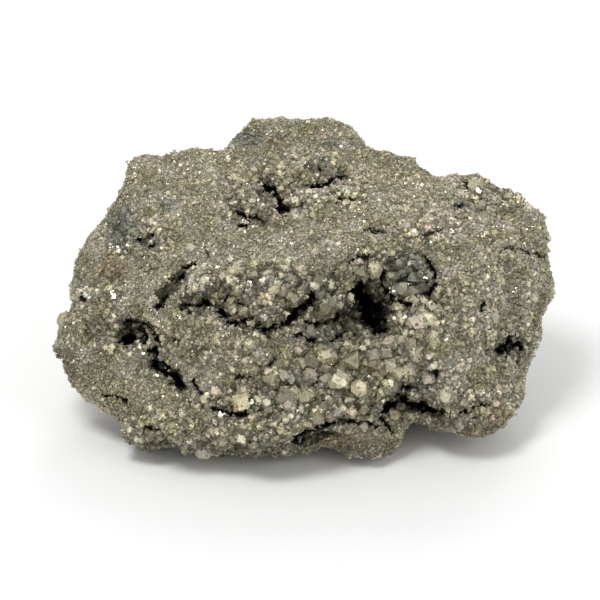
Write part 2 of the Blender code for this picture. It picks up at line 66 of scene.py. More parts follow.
# Places read from the photograph are pixels of its 600 px frame
FRAME_MIDDLE_PX = 300
MM_PER_PX = 0.2

# The base under the crystals: a skin of cells this wide, halved where they face the viewer and lie in front
# of this w in mm
BASE_CELL = 0.82 * MM
FRONT_STARTS_W = -6.0
FRONT_FACING = 0.0
BASE_INSET = 0.1 * MM

# Its relief: soft swells, rounded knobs of two sizes (scale and height) with creases between them, and grit
SWELL_SCALE = 6.0 * MM
SWELL_DEPTH = 0.5 * MM
KNOBS = ((3.2 * MM, 0.9 * MM), (1.6 * MM, 0.45 * MM))
KNOB_BORDER = 0.28
KNOB_MIDDLE = 0.6
JITTER = 0.07 * MM

# The knobs keep a share of their height where the crystals are fine, and all of it where they are coarser by
# this much, in mm. All relief fades out from this height down to the floor
QUIET_SHARE = 0.4
FULL_KNOBS = 0.8
FULL_RELIEF_HEIGHT = 1.2 * MM

# Zones of coarser crystals on the front: x, y, half width and half height in px, and the size at the heart in
# mm. Elsewhere the front has fine grains
FINE = 0.4
ZONES = (
    (350, 385, 95, 42, 1.9),
    (385, 305, 62, 50, 1.8),
    (265, 298, 80, 32, 1.6),
    (320, 300, 40, 30, 1.6),
    (220, 345, 40, 34, 0.6),
    (250, 402, 60, 20, 1.5),
    (230, 435, 80, 18, 0.9),
    (300, 185, 70, 26, 1.1),
    (268, 205, 45, 22, 1.2),
    (496, 195, 36, 22, 1.0),
    (508, 348, 26, 20, 1.3),
    (480, 290, 70, 90, 0.55),
    (460, 402, 64, 30, 0.75),
    (135, 335, 50, 22, 0.9),
    (140, 235, 34, 24, 0.8),
    (95, 290, 30, 26, 0.7),
    (150, 430, 50, 20, 0.8),
    (430, 225, 40, 26, 0.75),
)

# How the shares of round spots fade outwards: a start, less a slope times the squared distance from the heart
ZONE_FADE = (1.6, 1.1)
TINT_FADE = (1.5, 1.2)

# The front ends where the surface turns away from the viewer by this much, with a soft border
BACK_FACING = -0.42
FACING_BLEND = 0.2

# Behind it, crystals differ in size between these, in mm, by soft noise around a middle
BACK_SMALLEST = 0.95
BACK_LARGEST = 2.1
BACK_SCALE = 9 * MM
BACK_MIDDLE = 0.5
BACK_SWING = 1.2

# Crystals are scattered by size class, in mm. Those over SMALL are the larger crystals, all others are grains
SIZE_CLASSES = (2.3, 1.7, 1.25, 0.9, 0.62, 0.42)
CLASS_SPREAD = (0.85, 1.2)
SMALL = 0.7
SIZE_SPREAD = 0.3
GRAIN_SHARE = 0.22
GRAIN_RATIO = 0.45
TRIES_PER_CELL = 4.0
CROWDING = 1.0
GRAIN_CROWDING = 1.08

# How far their middles stand out of the skin by share of their size, how far each axis is stretched, and how
# many fine grains grow on the larger ones
STAND_OUT = (-0.35, 0.05)
LARGE_STAND_OUT = (-0.34, -0.1)
STRETCH = (0.75, 1.25)
SPRINKLED_PER_MM2 = 2.6

# Limits of a piece: its triangles and how far it may reach over the solid's top. Each crystal fills part of a
# cell in its flat layout
PIECE_TRIANGLES = 197000
OVER_TOP = 0.8 * MM
CELL_FILL = 0.38

# Single crystals that can be told apart in the photograph: x, y, size in mm, form
NOTABLE_SINK = 0.2
NOTABLE = (
    (361, 388, 2.4, "pyritohedron"), (392, 383, 2.4, "cuboctahedron"), (381, 394, 1.7, "cuboctahedron"),
    (410, 343, 2.3, "pyritohedron"), (393, 325, 1.8, "octahedron"), (412, 322, 1.8, "cuboctahedron"),
    (374, 289, 2.2, "cuboctahedron"), (250, 345, 2.1, "pyritohedron"), (240, 402, 2.0, "cube"),
    (285, 400, 1.8, "pyritohedron"), (320, 350, 1.7, "pyritohedron"), (337, 345, 1.5, "octahedron"),
    (275, 370, 1.5, "cuboctahedron"), (513, 338, 1.5, "cube"), (523, 344, 1.4, "octahedron"),
    (264, 297, 1.6, "cuboctahedron"), (295, 303, 1.8, "pyritohedron"), (416, 265, 2.2, "octahedron"),
    (430, 276, 1.2, "cuboctahedron"), (406, 281, 1.2, "cube"), (402, 290, 2.2, "cuboctahedron"),
    (415, 299, 1.4, "cube"), (385, 283, 1.7, "cuboctahedron"), (232, 304, 2.0, "cuboctahedron"),
    (244, 311, 1.5, "pyritohedron"), (421, 322, 2.0, "pyritohedron"), (436, 325, 1.5, "cube"),
    (296, 203, 1.7, "cuboctahedron"), (343, 132, 1.1, "octahedron"), (382, 330, 1.6, "octahedron"),
)

# Bright facets that catch the light in the photograph: x, y, size in mm. Each is a tuft of small cubes
GLINT_PARTS = 4
GLINT_PART_SIZE = 0.5
GLINT_PART_SPREAD = 0.25
GLINT_TILT = math.radians(4)
GLINT_SINK = 0.1
GLINTS = (
    (116, 296, 1.3), (222, 413, 1.2), (250, 402, 1.3), (405, 317, 0.7), (112, 247, 0.6), (117, 248, 0.6),
    (127, 245, 0.6), (180, 316, 0.6), (176, 366, 0.6), (282, 206, 0.7), (253, 226, 0.5), (358, 273, 0.8),
    (228, 157, 0.8), (479, 190, 1.2), (157, 376, 0.6), (144, 354, 0.6), (157, 348, 0.7), (516, 288, 0.6),
    (475, 291, 0.6), (446, 340, 0.6), (526, 229, 0.5), (288, 433, 0.5), (297, 432, 0.5), (391, 419, 0.6),
    (373, 404, 0.8), (298, 410, 0.6), (218, 268, 0.7), (199, 289, 0.6), (250, 283, 0.7), (373, 229, 0.8),
    (452, 231, 0.7), (316, 369, 0.6), (308, 372, 0.5), (335, 383, 0.5), (343, 132, 0.6), (89, 297, 0.6),
    (425, 277, 0.6), (415, 299, 0.7), (410, 284, 0.5), (394, 291, 0.5), (421, 262, 0.5),
)

# Cracks and holes to sink into the front: half width in px, depth in mm, and the places along them in px
CRACKS = (
    (3.2, 4.0, ((183, 307), (197, 305), (207, 301), (216, 306), (224, 312), (230, 316))),
    (2.6, 3.0, ((228, 299), (235, 300), (241, 304))),
    (2.4, 3.0, ((231, 323), (244, 321), (253, 318))),
    (3.6, 3.5, ((257, 325), (266, 328), (276, 327))),
    (4.0, 4.5, ((283, 324), (291, 316), (299, 308), (308, 304), (313, 297))),
    (2.0, 2.0, ((305, 321), (316, 323), (326, 323), (337, 315))),
    (3.6, 3.0, ((300, 334), (306, 340), (313, 340))),
    (2.6, 2.5, ((333, 341), (342, 336))),
    (6.5, 9.0, ((358, 290), (364, 299), (372, 311))),
    (8.0, 9.0, ((366, 312), (372, 323), (380, 328))),
    (2.4, 3.0, ((383, 272), (385, 288), (392, 301), (411, 303))),
    (3.0, 4.0, ((424, 256), (434, 268), (436, 286), (430, 295))),
    (4.0, 4.5, ((268, 189), (275, 191), (278, 202), (284, 211))),
    (3.0, 3.5, ((287, 210), (300, 206))),
    (2.7, 3.2, ((238, 212), (250, 219), (265, 224))),
    (3.0, 3.0, ((241, 227), (246, 226))),
    (2.2, 2.2, ((310, 186), (323, 186), (330, 180), (345, 177))),
    (2.4, 2.0, ((319, 168), (326, 173))),
    (1.8, 1.5, ((338, 199), (353, 200))),
    (2.0, 1.8, ((350, 262), (364, 256))),
    (2.4, 2.0, ((365, 231), (385, 232))),
    (5.5, 6.0, ((386, 405), (400, 400), (412, 402), (425, 407))),
    (3.0, 2.5, ((425, 407), (445, 413))),
    (2.4, 2.5, ((403, 386), (417, 390))),
    (4.5, 4.5, ((296, 442), (303, 433), (318, 428), (331, 424))),
    (3.2, 3.5, ((331, 423), (342, 420), (358, 421), (378, 427))),
    (3.0, 2.5, ((381, 419), (390, 428))),
    (3.0, 3.0, ((185, 268), (195, 263))),
    (3.2, 3.0, ((172, 278), (183, 276))),
    (3.4, 3.5, ((156, 307), (161, 305), (169, 295))),
    (2.4, 2.5, ((189, 314), (195, 314))),
    (2.4, 3.0, ((126, 321), (137, 322), (149, 323), (155, 334), (162, 346))),
    (7.0, 7.0, ((124, 339), (144, 337))),
    (6.5, 7.0, ((155, 354), (158, 362), (168, 373), (180, 385))),
    (2.4, 2.0, ((174, 339), (179, 341))),
    (2.6, 2.0, ((193, 379), (202, 395))),
    (2.6, 2.5, ((139, 239), (146, 239))),
    (2.4, 2.5, ((150, 235), (158, 234))),
    (2.2, 2.0, ((151, 247), (155, 245))),
    (2.4, 2.0, ((206, 250), (207, 253))),
    (2.5, 2.4, ((467, 184), (469, 188))),
    (2.6, 2.0, ((458, 207), (463, 204))),
    (3.0, 2.5, ((483, 306), (482, 312))),
    (4.0, 2.8, ((498, 352), (510, 341), (519, 346))),
    (2.2, 1.6, ((502, 250), (520, 248), (529, 254), (541, 256))),
    (1.8, 1.3, ((423, 237), (436, 231), (448, 227))),
    (2.6, 2.0, ((428, 372), (436, 373))),
    (2.4, 2.2, ((461, 413), (470, 410), (487, 404))),
    (2.4, 2.4, ((106, 397), (114, 395), (127, 402))),
    (2.6, 2.6, ((147, 428), (159, 427))),
    (2.6, 3.0, ((213, 409), (226, 412), (247, 414))),
    (2.4, 2.0, ((237, 378), (251, 377))),
    (2.0, 1.8, ((264, 366), (275, 360))),
    (2.2, 2.0, ((79, 297), (83, 299))),
)

# How steep their walls are, and the noise that makes their edges ragged (scale and reach in px) and lets them
# swell and narrow (scale in px). Each kind of noise is read in a layer of its own
CRACK_EDGE = 2.2
CRACK_RAGGED = ((9, 3.5), (3.5, 2.0))
CRACK_SWELL = 11
RAGGED_LAYER = 9
SWELL_LAYER = 5

# They end where the surface turns away, and leave a wall of the solid behind them, measured from a start
# under the surface. Larger crystals keep clear of them by a share of their size
CRACK_FACING = 4
WALL = 2.0 * MM
WALL_START = 1.2 * MM
CRACK_CLEAR = 0.25

# The crystal forms with their scales, and how often each comes up among the larger crystals and the grains.
# The last ones are irregular nuggets
ROOF_HALF = 0.75
ROOF_TOP = 1.5
FORM_SCALES = {"cube": 0.5, "octahedron": 0.78, "cuboctahedron": 0.52, "pyritohedron": 0.42, "chip": 0.6}
NUGGETS = 6
NUGGET_CORNERS = 14
NUGGET_SCALE = 0.52
FLAT_ANGLE = math.radians(2)
FORMS = (*FORM_SCALES, *(f"nugget_{number}" for number in range(NUGGETS)))
COMMON = (0.08, 0.06, 0.22, 0.12, 0.04) + (0.48 / NUGGETS,) * NUGGETS
SMALL_COMMON = (0.1, 0.62, 0, 0, 0.28) + (0,) * NUGGETS

# The metal's own colours, linear, except the near black one, which is painted shade
TINTS = {
    "metal": (0.54, 0.50, 0.37),
    "pale": (0.74, 0.70, 0.59),
    "yellow": (0.53, 0.50, 0.33),
    "blue": (0.18, 0.215, 0.215),
    "rust": (0.34, 0.2, 0.09),
    "painted_shade": (0.05, 0.045, 0.035),
}

# A soft mottle from yellow to pale over the whole skin, and soft spots on the front: x, y, half width and
# half height in px, colour, share. The near black spots are painted shade in and around the cave, under
# the ledge and along the underside at the bottom edge. The pale spots are painted light where faces turn
# up to the light. The blue spots are dark bluish crystals, in hollows partly painted shade
MOTTLE_SCALE = 4 * MM
MOTTLE_SLOPE = 1.6
MOTTLE_MOST = 0.6
TINT_SHARES = (0.5, 1)
TINT_SPOTS = (
    (367, 311, 19, 28, "painted_shade", 0.8),
    (350, 314, 15, 24, "painted_shade", 0.7),
    (215, 449, 95, 13, "painted_shade", 0.4),
    (462, 427, 42, 12, "painted_shade", 0.4),
    (148, 442, 30, 12, "painted_shade", 0.35),
    (65, 366, 15, 22, "painted_shade", 0.45),
    (275, 449, 40, 10, "painted_shade", 0.3),
    (375, 449, 42, 10, "painted_shade", 0.4),
    (325, 334, 30, 16, "painted_shade", 0.3),
    (411, 272, 26, 28, "blue", 0.6),
    (332, 285, 14, 30, "blue", 0.25),
    (495, 193, 14, 10, "blue", 0.35),
    (121, 228, 15, 26, "blue", 0.65),
    (168, 207, 10, 8, "blue", 0.6),
    (148, 241, 14, 9, "blue", 0.6),
    (246, 137, 20, 9, "blue", 0.6),
    (335, 145, 11, 5, "blue", 0.6),
    (316, 335, 26, 14, "blue", 0.35),
    (155, 368, 18, 16, "blue", 0.45),
    (460, 206, 8, 6, "blue", 0.6),
    (510, 345, 20, 14, "blue", 0.5),
    (370, 365, 18, 14, "rust", 0.3),
    (340, 440, 26, 8, "rust", 0.5),
    (440, 222, 28, 14, "rust", 0.3),
    (113, 266, 16, 16, "rust", 0.4),
    (500, 415, 14, 8, "rust", 0.4),
    (150, 290, 40, 14, "pale", 0.3),
    (225, 270, 50, 26, "pale", 0.4),
    (300, 245, 70, 18, "pale", 0.35),
    (440, 220, 50, 22, "pale", 0.3),
    (425, 380, 42, 26, "pale", 0.8),
    (318, 378, 36, 16, "pale", 0.7),
    (468, 398, 30, 10, "pale", 0.6),
    (378, 358, 28, 12, "pale", 0.6),
    (380, 262, 18, 14, "pale", 0.5),
    (497, 300, 30, 32, "pale", 0.3),
    (462, 322, 40, 24, "pale", 0.35),
    (440, 236, 22, 10, "pale", 0.3),
    (240, 195, 30, 16, "pale", 0.3),
    (340, 375, 90, 40, "yellow", 0.2),
    (145, 176, 14, 8, "yellow", 0.8),
    (140, 400, 60, 40, "yellow", 0.4),
    (280, 430, 60, 14, "yellow", 0.3),
)

# How brightness and hue differ from crystal to crystal, and their tone, from 0 for bright to 1 for dull
CONTRAST = 0.2
HUE_SPREAD = 0.022
TONES = (0.65, 1)
GLINT_TONES = (0.1, 0.5)
CRYSTAL_SHINE = 1.4
CRYSTAL_LEAST_DULL = 0.85

# The share of grains and of larger crystals that sparkle, and what is left of their tone
SPARKLES = 0.09
CRYSTAL_SPARKLES = 0.02
SPARKLE_TONE = 0.3

# Painted shade: the base is darker than the crystals, so that the gaps between them read dark, and creases
# and cracks are painted darker too, cracks in full from this depth in mm on
BASE_PAINTED_SHADE = 0.62
CREASE_PAINTED_SHADE = 0.6
CRACK_PAINTED_SHADE = 0.85
CRACK_DARK_DEPTH = 2

# Settings of the material's nodes: fine noise, the mottling and the bumps that it makes, and the roughness
# that the tone makes
TEXTURE = {"Scale": 2800, "Detail": 5, "Roughness": 0.65}
MOTTLING = {"From Min": 0.3, "From Max": 0.7, "To Min": 0.55, "To Max": 1.2}
BUMPS = {"Strength": 0.55, "Distance": 0.1 * MM}
DULLNESS = {"To Min": 0.2, "To Max": 0.76}

# The studio: even light all round, and soft lights by place in metres, size in metres and radiance
WORLD_LIGHT = 0.62
KEY_PLACE = (-0.18, -0.2, 0.6)
LIGHTS = (
    ("key", KEY_PLACE, 0.2, 18.0),
    ("fill", (0.5, -0.35, 0.35), 0.35, 2.4),
    ("back", (0.1, 0.5, 0.45), 0.35, 3.5),
)
FLOOR_HALF = 2.0
FLOOR_SHADE = 0.81
FLOOR_ROUGHNESS = 0.9
LENS_MM = 150
SENSOR_MM = 36


def mesh_arrays(mesh):
    """Vertex places, vertex normals and triangles of a mesh."""
    count = len(mesh.vertices)
    places = np.empty(count * 3)
    mesh.vertices.foreach_get("co", places)
    normals = np.empty(count * 3)
    mesh.vertex_normals.foreach_get("vector", normals)
    mesh.calc_loop_triangles()
    triangles = np.empty(len(mesh.loop_triangles) * 3, dtype=np.int64)
    mesh.loop_triangles.foreach_get("vertices", triangles)
    return places.reshape(-1, 3), normals.reshape(-1, 3), triangles.reshape(-1, 3)


def search_tree(places, triangles):
    """A tree that finds where rays meet the surface."""
    return BVHTree.FromPolygons([Vector(place) for place in places], triangles.tolist())


def soft_noise(places, scale, layer=0):
    """Soft noise at each place, within about -1 to 1. Another layer gives other noise."""
    lift = Vector((0, 0, layer))
    return np.array([noise.noise(Vector(place) / scale + lift) for place in places])


def base_mass(dice):
    """The specimen's solid, its large forms kept and its skin broken into knobs, creases, cracks and grit."""
    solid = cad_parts[NODE].data
    base = bpy.data.objects.new("base_mass", solid.copy())
    bpy.context.scene.collection.objects.link(base)
    mesh = even_skin(base)
    halve_front(mesh)
    places, normals, _ = mesh_arrays(mesh)
    relief = np.clip(places[:, 2] / FULL_RELIEF_HEIGHT, 0, 1)
    height, _ = knobs(places)
    grit = dice.normal(0, 1, len(places)) * JITTER
    moved = places + normals * ((height - BASE_INSET + grit) * relief)[:, None]
    facing = np.clip(normals @ np.array(TO_VIEWER) * CRACK_FACING, 0, 1)
    depth = walled(solid, moved, sunk(moved)[0] * MM * facing * relief)
    moved -= np.array(TO_VIEWER) * depth[:, None]
    moved[:, 2] = np.maximum(moved[:, 2], 0)
    mesh.vertices.foreach_set("co", moved.ravel())
    mesh.update()
    tint_base(mesh, moved, front_share(normals), dice)
    return base


def even_skin(base):
    """Gives the object a mesh of even cells and returns it."""
    skin = base.modifiers.new("Skin", "REMESH")
    skin.mode = "VOXEL"
    skin.voxel_size = BASE_CELL
    mesh = bpy.data.meshes.new_from_object(base.evaluated_get(bpy.context.evaluated_depsgraph_get()))
    base.modifiers.clear()
    base.data = mesh
    return mesh


def front_share(normals):
    """How far surfaces with these normals count as the front: 1 in front, 0 behind."""
    return np.clip((normals @ np.array(TO_VIEWER) - BACK_FACING) / FACING_BLEND, 0, 1)


def walled(solid, places, depth):
    """The depths, cut down where they would leave less than a wall's thickness of the solid behind them.

    A ray that meets nothing has started behind the solid, which is too thin there for any depth."""
    corners, _, triangles = mesh_arrays(solid)
    tree = search_tree(corners, triangles)
    kept = depth.copy()
    for index in np.flatnonzero(depth):
        *_, far = tree.ray_cast(Vector(places[index]) - TO_VIEWER * WALL_START, -TO_VIEWER)
        kept[index] = min(depth[index], max(0, (far or 0) + WALL_START - WALL))
    return kept


def halve_front(mesh):
    """Halves the cells of the skin that face the viewer."""
    solid = bmesh.new()
    solid.from_mesh(mesh)
    solid.verts.ensure_lookup_table()
    solid.normal_update()
    _, _, w = plane_places(np.array([vert.co for vert in solid.verts]))
    near = [face for face in solid.faces
            if w[face.verts[0].index] > FRONT_STARTS_W and face.normal.dot(TO_VIEWER) > FRONT_FACING]
    edges = list({edge for face in near for edge in face.edges})
    bmesh.ops.subdivide_edges(solid, edges=edges, cuts=1, use_grid_fill=True)
    solid.to_mesh(mesh)
    solid.free()


def knobs(places):
    """Height of the knobs at each place and how deep it lies in a crease between them, from 0 to 1."""
    quiet = QUIET_SHARE + (1 - QUIET_SHARE) * coarseness(places)
    height = SWELL_DEPTH * soft_noise(places, SWELL_SCALE)
    crease = np.zeros(len(places))
    for scale, depth in KNOBS:
        gaps = np.array([noise.voronoi(Vector(place) / scale)[0][:2] for place in places])
        border = np.clip((gaps[:, 1] - gaps[:, 0]) / KNOB_BORDER, 0, 1)
        round_top = 1 - gaps[:, 0] ** 2
        height += depth * quiet * (round_top * np.sqrt(border) - KNOB_MIDDLE)
        crease = np.maximum(crease, (1 - border) * quiet)
    return height, crease


def spot_share(x, y, spot, fade):
    """How far pixel places belong to a soft round spot: 1 around its heart, 0 outside."""
    heart_x, heart_y, half_x, half_y = spot
    start, slope = fade
    far = ((x - heart_x) / half_x) ** 2 + ((y - heart_y) / half_y) ** 2
    return np.clip(start - slope * far, 0, 1)


def coarseness(places):
    """How knobbly the surface is at each place, from 0 to 1."""
    x, y = pixels(places)
    coarse = np.zeros(len(places))
    for *spot, size in ZONES:
        coarse = np.maximum(coarse, min(1, (size - FINE) / FULL_KNOBS) * spot_share(x, y, spot, ZONE_FADE))
    return coarse


def off_line(x, y, line):
    """Distance of each pixel place from a line of points."""
    nearest = np.full(len(x), np.inf)
    for start, end in zip(line[:-1], line[1:]):
        way = np.subtract(end, start)
        along = np.clip(((x - start[0]) * way[0] + (y - start[1]) * way[1]) / (way @ way), 0, 1)
        nearest = np.minimum(nearest, np.hypot(x - start[0] - along * way[0], y - start[1] - along * way[1]))
    return nearest


def sunk(places):
    """How deep each place lies in cracks and holes, in mm, and how far it is from their edge, in px.

    Noise makes the edges ragged and lets the lines swell and narrow."""
    x, y = pixels(places)
    flat = np.column_stack([x, y, np.zeros(len(x))])
    for scale, reach in CRACK_RAGGED:
        x = x + reach * soft_noise(flat, scale)
        y = y + reach * soft_noise(flat, scale, RAGGED_LAYER)
    swell = soft_noise(flat, CRACK_SWELL, SWELL_LAYER)
    sink = np.zeros(len(places))
    gap = np.full(len(places), np.inf)
    for half, depth, line in CRACKS:
        off = off_line(x, y, line)
        wide = half * (1 + swell)
        sink = np.maximum(sink, depth * np.clip(CRACK_EDGE * (1 - off / wide), 0, 1))
        gap = np.minimum(gap, off - wide)
    return sink, gap


def plane_places(world):
    """Where world places are seen on the face plane: u, v and w in mm."""
    inverse = np.array(STANCE.inverted())
    local = (world @ inverse[:3, :3].T + inverse[:3, 3]) / MM
    eye = EYE_DISTANCE / MM
    spread = eye / (eye - local[:, 2:])
    return local[:, 0] * spread[:, 0], local[:, 1] * spread[:, 0], local[:, 2]


def pixels(world):
    """Where world places fall in the photograph's frame."""
    u, v, _ = plane_places(world)
    return FRAME_MIDDLE_PX + u / MM_PER_PX, FRAME_MIDDLE_PX - v / MM_PER_PX


def front_spot(tree, x, y):
    """Where the line of sight through pixel (x, y) meets the surface, and the normal there."""
    aim = STANCE @ (Vector((x - FRAME_MIDDLE_PX, FRAME_MIDDLE_PX - y, 0)) * MM_PER_PX * MM)
    eye = FACE_MIDDLE + TO_VIEWER * EYE_DISTANCE
    spot, normal, *_ = tree.ray_cast(eye, (aim - eye).normalized())
    return spot, normal


def scatter(places, triangles, spacing, dice):
    """Random places on the surface, about one in each cell of the spacing, with the normals there."""
    corners = places[triangles]
    cross = np.cross(corners[:, 1] - corners[:, 0], corners[:, 2] - corners[:, 0])
    area = np.linalg.norm(cross, axis=1) / 2
    count = int(TRIES_PER_CELL * area.sum() / spacing**2)
    chosen = dice.choice(len(triangles), count, p=area / area.sum())
    a, b = dice.random((2, count, 1))
    fold = a + b > 1
    a, b = np.where(fold, 1 - a, a), np.where(fold, 1 - b, b)
    corners = corners[chosen]
    spots = corners[:, 0] * (1 - a - b) + corners[:, 1] * a + corners[:, 2] * b
    cells = np.floor(spots / spacing).astype(np.int64)
    _, first = np.unique(cells, axis=0, return_index=True)
    normals = cross[chosen[first]]
    normals /= np.linalg.norm(normals, axis=1)[:, None]
    return spots[first], normals


def typical_size(places, normals):
    """The crystals' typical size at each place, in mm: by zone on the front, by soft noise elsewhere."""
    x, y = pixels(places)
    size = np.full(len(places), FINE)
    for *spot, heart_size in ZONES:
        size = np.maximum(size, FINE + (heart_size - FINE) * spot_share(x, y, spot, ZONE_FADE))
    front = front_share(normals)
    rough = np.clip(BACK_MIDDLE + BACK_SWING * soft_noise(places, BACK_SCALE), 0, 1)
    back = BACK_SMALLEST + (BACK_LARGEST - BACK_SMALLEST) * rough
    return size * front + back * (1 - front)


def forms(dice):
    """Corners and faces of each form, about one unit across. A chip has every other corner of a cube."""
    signs = (-1, 1)
    cube = np.array([(x, y, z) for x in signs for y in signs for z in signs])
    points = {
        "cube": cube,
        "octahedron": np.array([np.roll((sign, 0, 0), turn) for sign in signs for turn in range(3)]),
        "cuboctahedron": mirrored(1, 1),
        "pyritohedron": np.concatenate([cube, mirrored(ROOF_HALF, ROOF_TOP)]),
        "chip": cube[cube.prod(axis=1) < 0],
    }
    made = {name: scale * points[name] for name, scale in FORM_SCALES.items()}
    for number in range(NUGGETS):
        ways = dice.normal(0, 1, (NUGGET_CORNERS, 3))
        made[f"nugget_{number}"] = NUGGET_SCALE * ways / np.linalg.norm(ways, axis=1)[:, None]
    return {name: hull(corners) for name, corners in made.items()}


def mirrored(half, top):
    """The point (0, half, top), mirrored each way and turned from axis to axis."""
    points = [(0, a * half, b * top) for a in (-1, 1) for b in (-1, 1)]
    return np.array([np.roll(point, turn) for point in points for turn in range(3)])


def hull(points):
    """The convex solid around the points: corners as an array and faces as lists of corner numbers."""
    solid = bmesh.new()
    verts = [solid.verts.new(point) for point in points]
    bmesh.ops.convex_hull(solid, input=verts)
    bmesh.ops.dissolve_limit(solid, angle_limit=FLAT_ANGLE, verts=solid.verts, edges=solid.edges)
    bmesh.ops.recalc_face_normals(solid, faces=solid.faces)
    solid.verts.index_update()
    corners = np.array([vert.co for vert in solid.verts])
    faces = [[vert.index for vert in face.verts] for face in solid.faces]
    solid.free()
    return corners, faces


def random_turns(count, dice):
    """Random rotation matrices, from random unit quaternions."""
    q = dice.normal(size=(count, 4))
    w, x, y, z = (q / np.linalg.norm(q, axis=1)[:, None]).T
    rows = [
        [1 - 2 * (y * y + z * z), 2 * (x * y - w * z), 2 * (x * z + w * y)],
        [2 * (x * y + w * z), 1 - 2 * (x * x + z * z), 2 * (y * z - w * x)],
        [2 * (x * z - w * y), 2 * (y * z + w * x), 1 - 2 * (x * x + y * y)],
    ]
    return np.moveaxis(np.array(rows), 2, 0)


def joined_mesh(name, batches):
    """One mesh from batches of (corners per copy, faces of one copy, values per copy)."""
    all_corners, loops, totals, copies_of = [], [], [], []
    values = {key: [] for key in batches[0][2]}
    corner_count = copy_count = 0
    for corners, faces, per_copy in batches:
        copies, per = corners.shape[:2]
        flat = np.concatenate([np.array(face) for face in faces])
        offsets = corner_count + per * np.arange(copies)
        all_corners.append(corners.reshape(-1, 3))
        loops.append((flat[None] + offsets[:, None]).ravel())
        totals.append(np.tile([len(face) for face in faces], copies))
        copies_of.append(copy_count + np.repeat(np.arange(copies), len(faces)))
        for key, value in per_copy.items():
            values[key].append(np.repeat(value, len(faces), axis=0))
        corner_count += copies * per
        copy_count += copies
    loops, totals = np.concatenate(loops), np.concatenate(totals)
    mesh = bpy.data.meshes.new(name)
    mesh.vertices.add(corner_count)
    mesh.vertices.foreach_set("co", np.concatenate(all_corners).ravel())
    mesh.loops.add(len(loops))
    mesh.loops.foreach_set("vertex_index", loops)
    mesh.polygons.add(len(totals))
    mesh.polygons.foreach_set("loop_start", np.cumsum(totals) - totals)
    mesh.polygons.foreach_set("loop_total", totals)
    mesh.update(calc_edges=True)
    for key, value in values.items():
        set_faces(mesh, key, np.concatenate(value))
    lay_out(mesh, np.concatenate(copies_of))
    return mesh


def set_faces(mesh, key, value):
    """Writes a value or a colour per face."""
    colour = value.ndim > 1
    layer = mesh.attributes.new(key, "FLOAT_COLOR" if colour else "FLOAT", "FACE")
    layer.data.foreach_set("color" if colour else "value", value.ravel())


def face_corners(mesh):
    """The first corner and the number of corners of each face."""
    starts = np.empty(len(mesh.polygons), dtype=np.int32)
    mesh.polygons.foreach_get("loop_start", starts)
    totals = np.empty(len(mesh.polygons), dtype=np.int32)
    mesh.polygons.foreach_get("loop_total", totals)
    return starts, totals


def lay_out(mesh, cells):
    """A flat layout in which the faces that share a colour share one cell of a square grid."""
    starts, totals = face_corners(mesh)
    face = np.repeat(np.arange(len(totals)), totals)
    angle = 2 * math.pi * (np.arange(len(face)) - starts[face]) / totals[face]
    side = math.ceil(math.sqrt(cells.max() + 1))
    cell = cells[face]
    across = (cell % side + 0.5 + CELL_FILL * np.cos(angle)) / side
    along = (cell // side + 0.5 + CELL_FILL * np.sin(angle)) / side
    mesh.uv_layers.new(name="OFBake").uv.foreach_set("vector", np.column_stack([across, along]).ravel())


def nearest_class(sizes):
    """The number of the size class that each size comes nearest to, by ratio."""
    return np.abs(np.log(sizes)[:, None] - np.log(SIZE_CLASSES)[None]).argmin(axis=1)


def group(middle, size, kind, front, glint=False):
    """A group of crystals: under each key one entry for each crystal."""
    glints = np.full(len(middle), glint)
    return {"middle": middle, "size": size, "kind": kind, "front": front, "glint": glints}


def together(groups):
    """One group of crystals made of several."""
    return {key: np.concatenate([crystals[key] for crystals in groups]) for key in groups[0]}


def picked(crystals, which):
    """The group of some of the crystals."""
    return {key: value[which] for key, value in crystals.items()}


def scattered(places, triangles, dice):
    """The crystals that cover the whole skin."""
    groups = []
    for number, class_size in enumerate(SIZE_CLASSES):
        large = class_size > SMALL
        spacing = class_size * (CROWDING if large else GRAIN_CROWDING) * MM
        spots, normals = scatter(places, triangles, spacing, dice)
        typical = typical_size(spots, normals) * np.exp(dice.normal(0, SIZE_SPREAD, len(spots)))
        typical[dice.random(len(spots)) < GRAIN_SHARE] *= GRAIN_RATIO
        size = class_size * dice.uniform(*CLASS_SPREAD, len(spots))
        keep = nearest_class(typical) == number
        if large:
            keep &= (sunk(spots)[1] * MM_PER_PX > CRACK_CLEAR * size) | (front_share(normals) == 0)
        spots, normals, size = spots[keep], normals[keep], size[keep]
        stand_out = dice.uniform(*(LARGE_STAND_OUT if large else STAND_OUT), len(spots))
        middle = spots + normals * (size * MM * stand_out)[:, None]
        kind = dice.choice(len(FORMS), len(spots), p=COMMON if large else SMALL_COMMON)
        groups.append(group(middle, size, kind, front_share(normals)))
    return together(groups)


def placed(tree, entries, sink, glint=False):
    """Crystals listed by pixel of the front, size in mm and form, each sunk by a share of its size."""
    middle, size, kind = [], [], []
    for x, y, across, form in entries:
        spot, normal = front_spot(tree, x, y)
        middle.append(spot - normal * sink * across * MM)
        size.append(across)
        kind.append(FORMS.index(form))
    return group(np.array(middle), np.array(size), np.array(kind), np.ones(len(size)), glint)


def glint_tufts(dice):
    """The small cubes of all the glints, listed by pixel."""
    tufts = []
    for x, y, size in GLINTS:
        spread = GLINT_PART_SPREAD * size / MM_PER_PX
        for move_x, move_y in dice.normal(0, spread, (GLINT_PARTS, 2)):
            tufts.append((x + move_x, y + move_y, size * GLINT_PART_SIZE, "cube"))
    return tufts


def glint_turn(place, dice):
    """A turn that lets a cube's face about mirror the key light to the viewer."""
    to_light = (Vector(KEY_PLACE) - place).normalized()
    to_eye = (FACE_MIDDLE + TO_VIEWER * EYE_DISTANCE - place).normalized()
    tilt = Euler((*dice.normal(0, GLINT_TILT, 2), dice.uniform(0, math.pi)))
    return np.array((to_light + to_eye).to_track_quat("Z", "Y").to_matrix() @ tilt.to_matrix())


